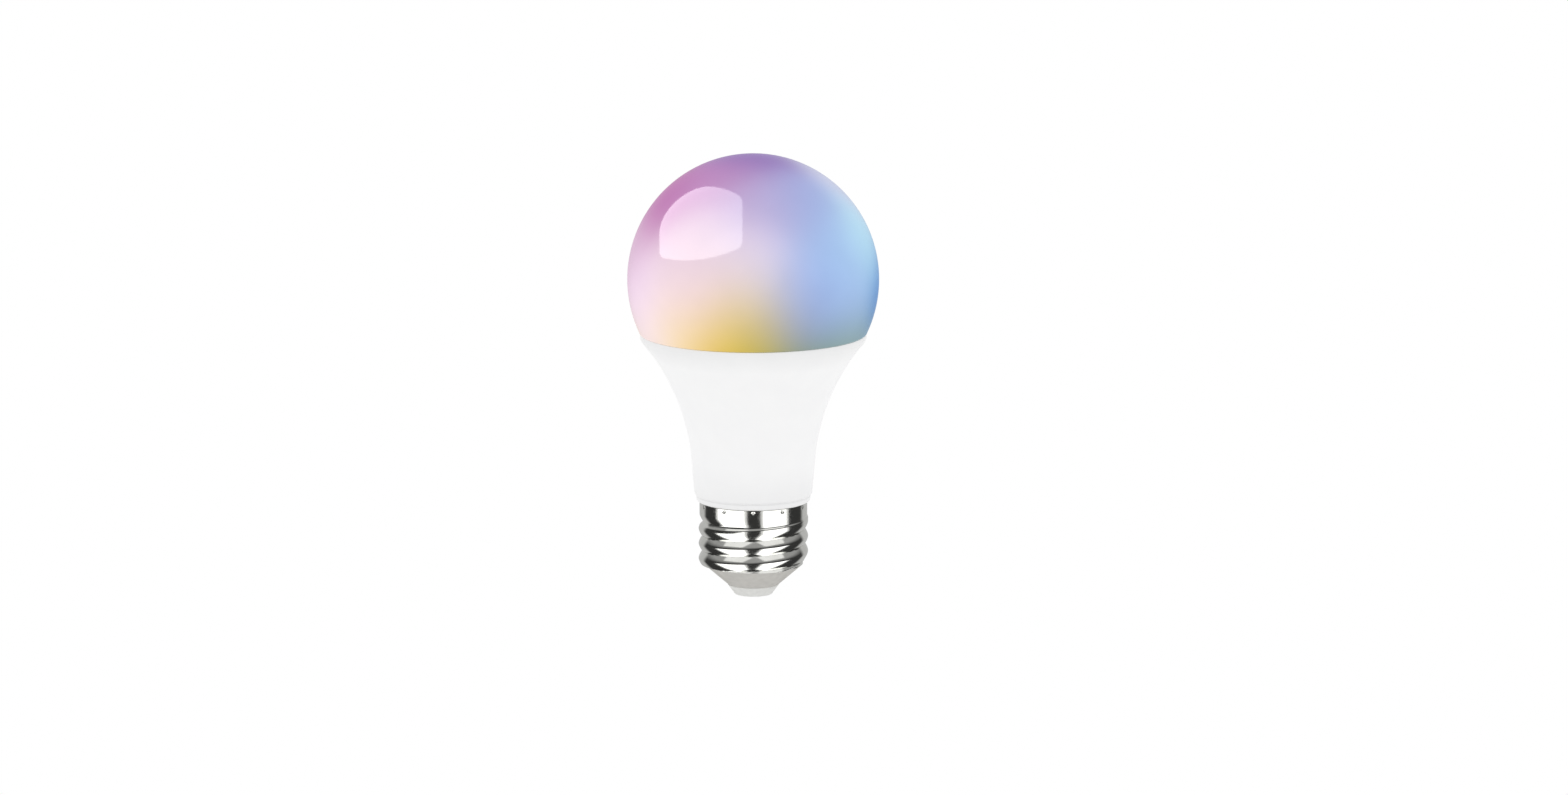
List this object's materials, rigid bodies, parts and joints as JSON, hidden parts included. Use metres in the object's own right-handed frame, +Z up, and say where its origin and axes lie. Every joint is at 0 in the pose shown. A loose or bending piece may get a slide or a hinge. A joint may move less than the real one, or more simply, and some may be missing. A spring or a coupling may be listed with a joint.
{
  "type": "smart light bulb",
  "caption": "Colour LED light bulb: milky dome on a flared plastic housing with a screw base, with its driver, LED board and radio module inside.",
  "frame": {"origin": "centre of the centre contact's tip face, the lowest point of the screw base", "axes": "+Z up the bulb's axis, from the screw base to the dome; -Y is the front, and the driver board lies in the XZ plane"},
  "size_m": [0.06, 0.06, 0.1064],
  "materials": {
    "milky_dome": "milky polycarbonate, lit from inside in soft colours, polished outside",
    "white_plastic": "moulded white plastic with a soft satin sheen",
    "silicone": "cured white silicone",
    "nickel_plate": "bright nickel plate on pressed metal",
    "grey_plastic": "matt light grey moulded plastic",
    "contact_metal": "dull tinned metal",
    "aluminium": "drawn aluminium",
    "paste": "white thermal paste",
    "board_white": "white solder mask on an aluminium core",
    "led_warm": "white package with warm phosphor",
    "led_cool": "white package with cool phosphor",
    "led_red": "white package with a red chip under clear resin",
    "led_green": "white package with a green chip under clear resin",
    "led_blue": "white package with a blue chip under clear resin",
    "steel": "zinc-plated steel",
    "board_green": "green solder mask on glass laminate",
    "can_sleeve": "black sleeve on an aluminium can",
    "film_box": "yellow-brown moulded box",
    "ferrite": "sintered ferrite",
    "bobbin_plastic": "black moulded nylon",
    "winding_tape": "yellow polyester tape over enamelled copper",
    "copper": "enamelled copper",
    "black_resin": "moulded black resin with tinned legs",
    "blue_lacquer": "dipped blue lacquer",
    "resistor_coat": "blue-green flameproof coat",
    "gold_plate": "gold-plated brass",
    "board_blue": "blue solder mask on glass laminate",
    "wire_black": "black insulated wire",
    "wire_white": "white insulated wire"
  },
  "bodies": {
    "root": {"diffuser_dome": "milky_dome", "dome_adhesive": "silicone", "housing_shell": "white_plastic", "screw_shell": "nickel_plate", "base_insulator": "grey_plastic", "centre_contact": "contact_metal", "heat_sink_cup": "aluminium", "thermal_paste": "paste", "led_board": "board_white", "warm_white_leds": "led_warm", "cool_white_leds": "led_cool", "red_leds": "led_red", "green_leds": "led_green", "blue_leds": "led_blue", "board_screws": "steel", "driver_board": "board_green", "bulk_capacitor": "can_sleeve", "output_capacitor": "can_sleeve", "film_capacitor": "film_box", "transformer_core": "ferrite", "transformer_bobbin": "bobbin_plastic", "transformer_winding": "winding_tape", "choke_core": "ferrite", "choke_winding": "copper", "bridge_rectifier": "black_resin", "driver_chips": "black_resin", "chip_resistors": "black_resin", "surge_varistor": "blue_lacquer", "fuse_resistor": "resistor_coat", "header_strip": "bobbin_plastic", "header_pins": "gold_plate", "wireless_board": "board_blue", "wireless_shield": "nickel_plate", "antenna_trace": "copper", "live_wire": "wire_black", "neutral_wire": "wire_white"}
  },
  "joints": []
}
